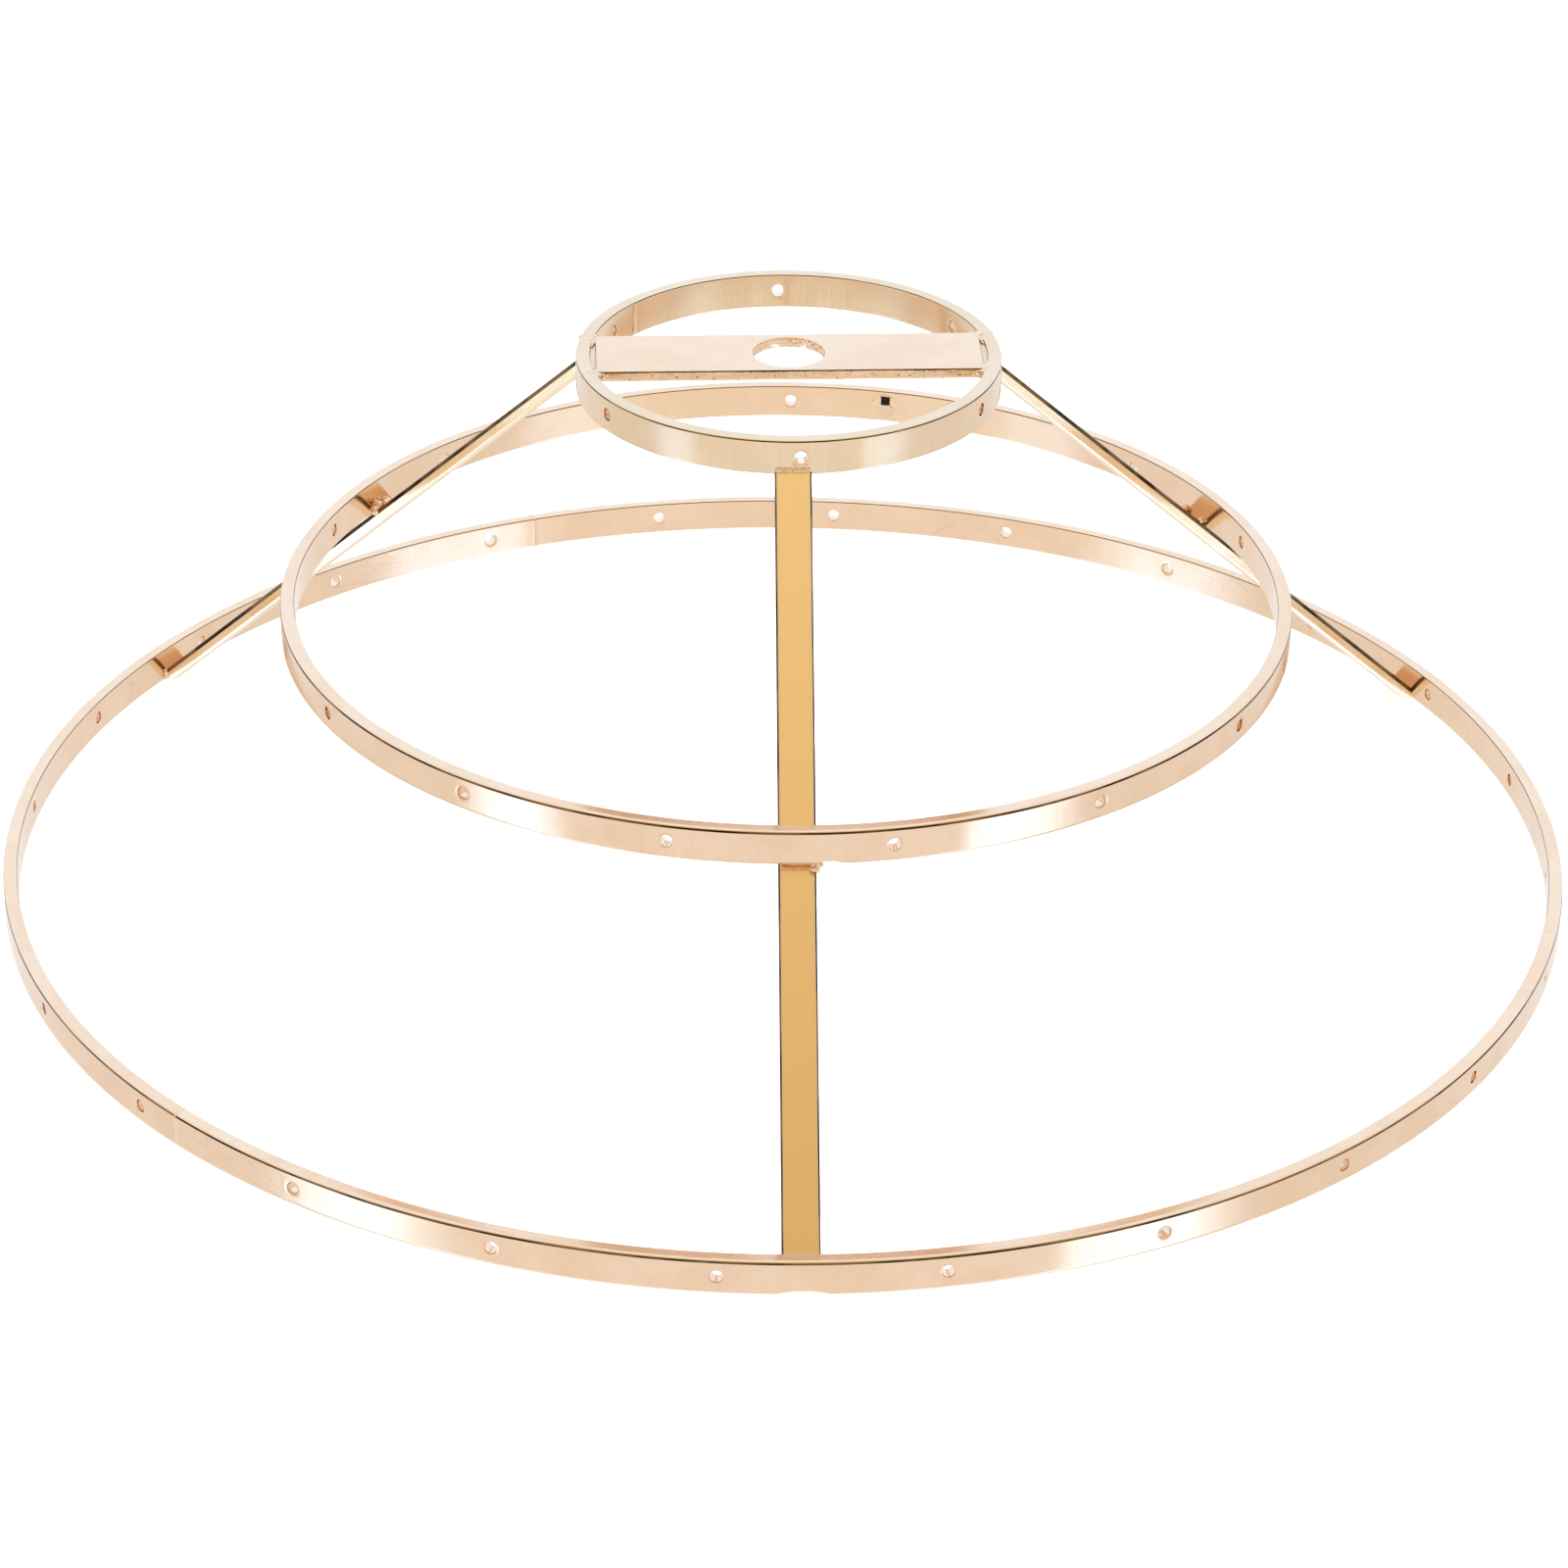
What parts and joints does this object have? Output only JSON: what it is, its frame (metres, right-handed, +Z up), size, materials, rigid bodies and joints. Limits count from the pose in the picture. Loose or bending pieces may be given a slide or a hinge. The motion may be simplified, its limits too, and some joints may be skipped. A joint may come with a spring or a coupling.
{
  "type": "tiered ring frame",
  "caption": "Stepped metal ring frame: flat-bar rings on sloping arms, walls drilled for hanging wires, with a holed strap across the top ring for a hanging rod.",
  "frame": {"origin": "centre of the bottom ring, at its lower edge", "axes": "+Z up along the rings' shared axis towards the strap; -Y towards the front arm"},
  "size_m": [0.225, 0.225, 0.08],
  "materials": {
    "ring_plating": "champagne gold electroplate over brushed steel bar, semi-gloss",
    "strap_plating": "champagne gold electroplate, satin face, sheared edges",
    "arm_plating": "champagne gold electroplate, satin",
    "weld_plating": "champagne gold electroplate over uneven weld metal, glossy"
  },
  "bodies": {
    "root": {"bottom_ring_long": "ring_plating", "bottom_ring_short": "ring_plating", "middle_ring": "ring_plating", "top_ring": "ring_plating", "cross_strap": "strap_plating", "arm_front": "arm_plating", "arm_right": "arm_plating", "arm_left": "arm_plating", "bottom_front_seam": "weld_plating", "bottom_back_seam": "weld_plating", "middle_seam": "weld_plating", "top_seam": "weld_plating", "top_weld_front": "weld_plating", "top_weld_right": "weld_plating", "top_weld_left": "weld_plating", "middle_weld_front": "weld_plating", "middle_weld_right": "weld_plating", "middle_weld_left": "weld_plating", "foot_weld_front": "weld_plating", "foot_weld_right": "weld_plating", "foot_weld_left": "weld_plating", "strap_weld_back_right": "weld_plating", "strap_weld_back_left": "weld_plating", "strap_weld_front_left": "weld_plating", "strap_weld_front_right": "weld_plating"}
  },
  "joints": []
}
